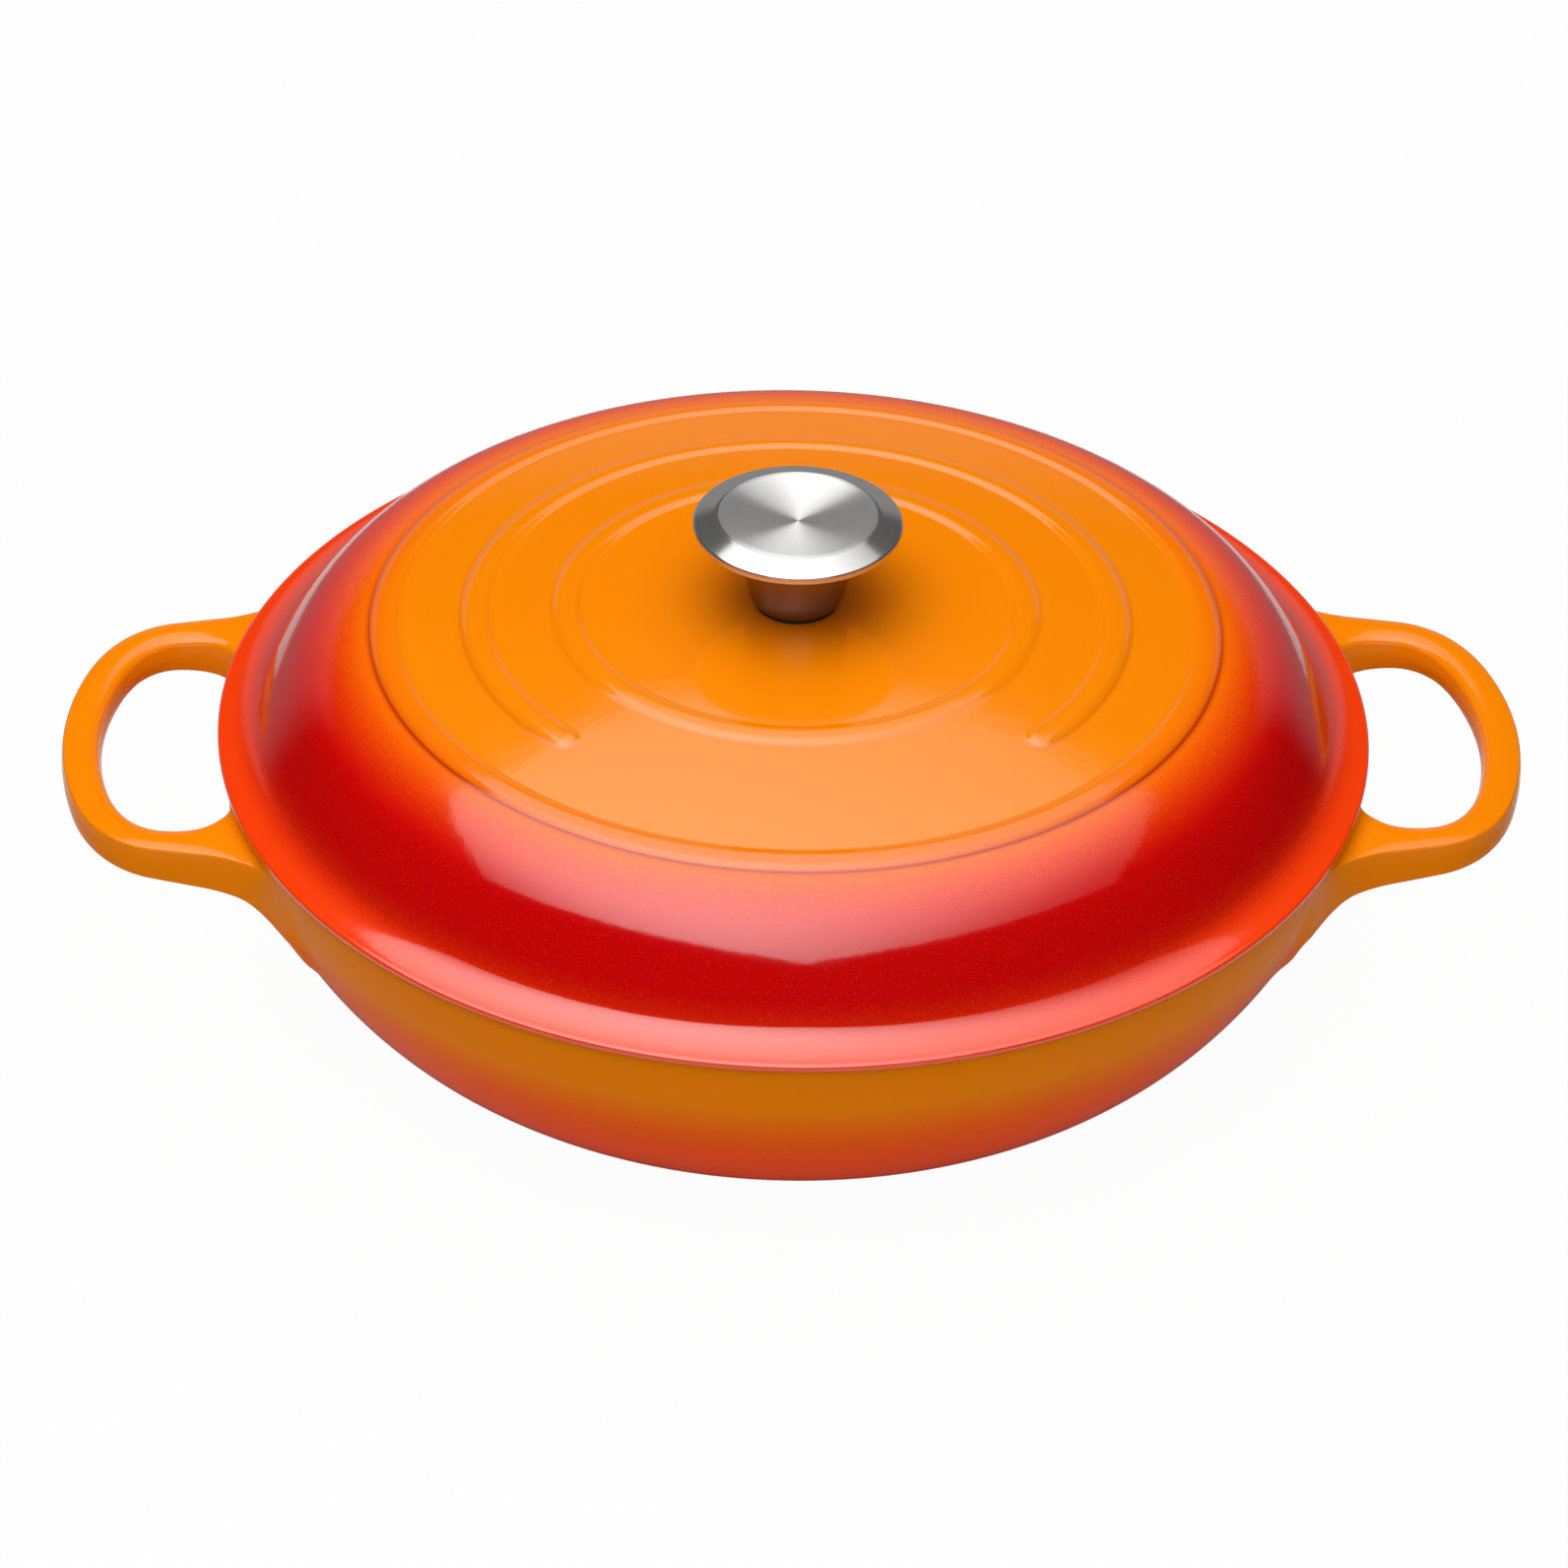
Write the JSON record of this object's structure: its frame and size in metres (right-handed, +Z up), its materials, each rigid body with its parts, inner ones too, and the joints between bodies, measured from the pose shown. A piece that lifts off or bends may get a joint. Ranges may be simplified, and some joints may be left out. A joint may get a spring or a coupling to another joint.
{
  "type": "braising pot",
  "caption": "Shallow round enamelled iron braising pot with loop side handles, a domed ringed lid that lifts off, and a steel lid knob.",
  "frame": {"origin": "centre of the flat base, on the surface that the pot stands on", "axes": "+Z up through the knob, +X through the right-hand handle, -Y towards the front, where the middle ring of the lid is open"},
  "size_m": [0.3946, 0.31, 0.1331],
  "materials": {
    "flame_enamel": "glossy orange enamel on iron, turning red towards the base; pale sand enamel inside",
    "lid_enamel": "glossy orange enamel on iron, turning deep red on the shoulder; pale sand enamel underneath",
    "brushed_steel": "stainless steel, brushed in circles, with a polished edge",
    "stem_steel": "stainless steel, satin",
    "screw_steel": "plain stainless steel",
    "dark_seal": "dark heat-proof ring, matt"
  },
  "bodies": {
    "pot": {"pot_body": "flame_enamel"},
    "lid": {"lid": "lid_enamel", "knob_cap": "brushed_steel", "knob_stem": "stem_steel", "knob_insert": "screw_steel", "knob_gasket": "dark_seal", "screw_washer": "screw_steel", "lid_screw": "screw_steel"}
  },
  "joints": [
    {"name": "lid_lift", "type": "slide", "parent": "pot", "child": "lid", "axis": [0, 0, 1], "range_m": [0, 0.15]}
  ]
}
